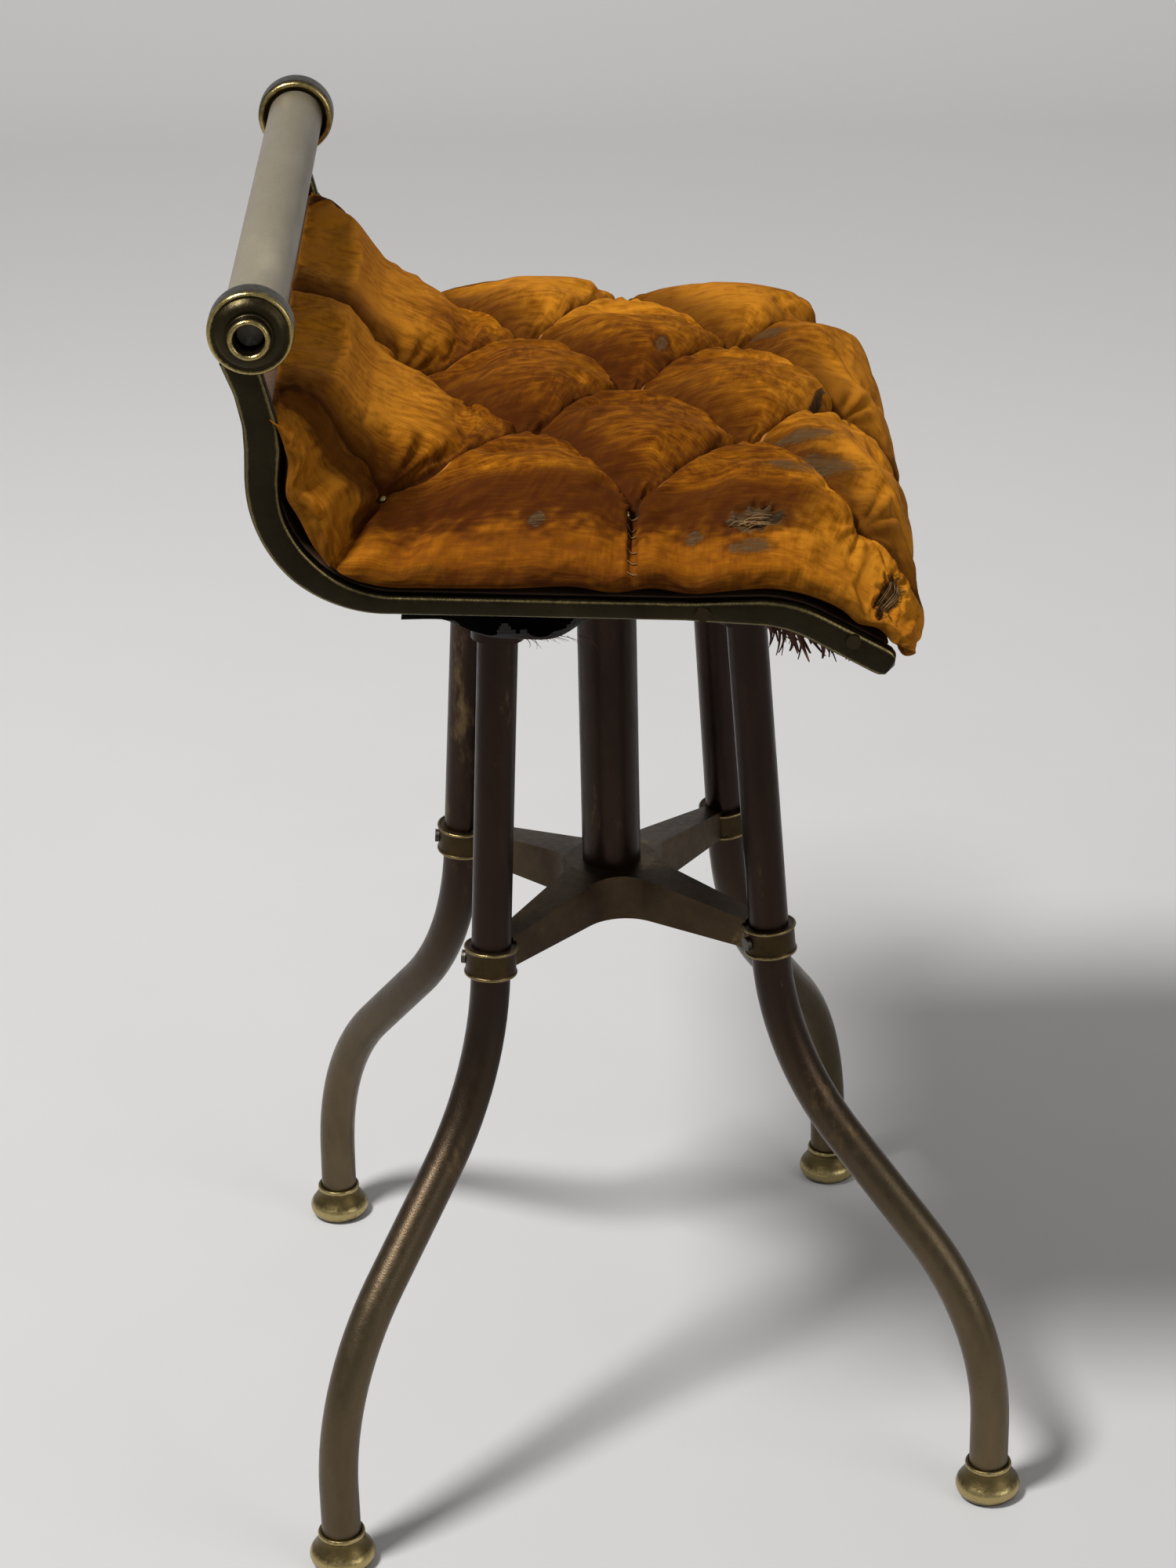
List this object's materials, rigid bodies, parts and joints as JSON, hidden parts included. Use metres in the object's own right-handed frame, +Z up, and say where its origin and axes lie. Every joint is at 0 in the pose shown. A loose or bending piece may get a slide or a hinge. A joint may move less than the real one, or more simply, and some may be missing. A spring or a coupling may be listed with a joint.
{
  "type": "music stool",
  "caption": "Screw-height stool with four bent tube legs, a cross stretcher and column, cast side rails, a buttoned velvet cushion and a low round grab rail behind the seat",
  "frame": {"origin": "on the floor under the screw column, z = 0 at the feet", "axes": "+Z up along the column, +X to the front of the seat, +Y to the sitter's left"},
  "size_m": [0.3964, 0.4162, 0.6977],
  "materials": {
    "bronzed_steel": "dark bronzed steel tube, worn satin",
    "tarnished_brass": "old cast brass, tarnished olive brown",
    "plain_steel": "plain steel, dulled",
    "cast_iron": "cast iron, as cast",
    "beech_ply": "plain hardwood, unfinished",
    "turned_wood": "turned hardwood plug",
    "nickelled_tube": "worn satin nickel over brass",
    "velvet": "worn ochre velvet with a streaky pile",
    "lining_cloth": "thin dark lining cloth"
  },
  "bodies": {
    "base": {"leg_tube_rear_right": "bronzed_steel", "leg_tube_front_right": "bronzed_steel", "leg_tube_front_left": "bronzed_steel", "leg_tube_rear_left": "bronzed_steel", "foot_caps": "tarnished_brass", "cross_stretcher": "tarnished_brass", "collar_screws": "plain_steel", "column_tube": "tarnished_brass", "column_plug": "plain_steel", "hub_screw": "plain_steel", "top_spider": "tarnished_brass", "socket_screws": "plain_steel", "screw_bush": "tarnished_brass", "bush_screws": "plain_steel"},
    "lift": {"stop_washer": "plain_steel"},
    "seat": {"height_screw": "plain_steel", "stop_nut": "plain_steel", "seat_flange": "cast_iron", "flange_screws": "plain_steel", "seat_board": "beech_ply", "back_board": "beech_ply", "front_apron": "beech_ply", "side_rail_left": "tarnished_brass", "side_rail_right": "tarnished_brass", "rail_screws": "plain_steel", "grab_rail": "nickelled_tube", "grab_plug_left": "turned_wood", "grab_plug_right": "turned_wood", "end_screws": "plain_steel", "cushion": "velvet", "tuft_tacks": "plain_steel", "bottom_lining": "lining_cloth"}
  },
  "joints": [
    {"name": "seat_rise", "type": "slide", "parent": "base", "child": "lift", "axis": [0, 0, 1], "range_m": [0, 0.09]},
    {"name": "seat_turn", "type": "hinge", "parent": "lift", "child": "seat", "pos_m": [0, 0, 0.52], "axis": [0, 0, 1], "range_deg": [0, 5100]}
  ],
  "couplings": [
    {"joint": "seat_rise", "follows": "seat_turn", "m_per_rad": 0.0010106}
  ]
}
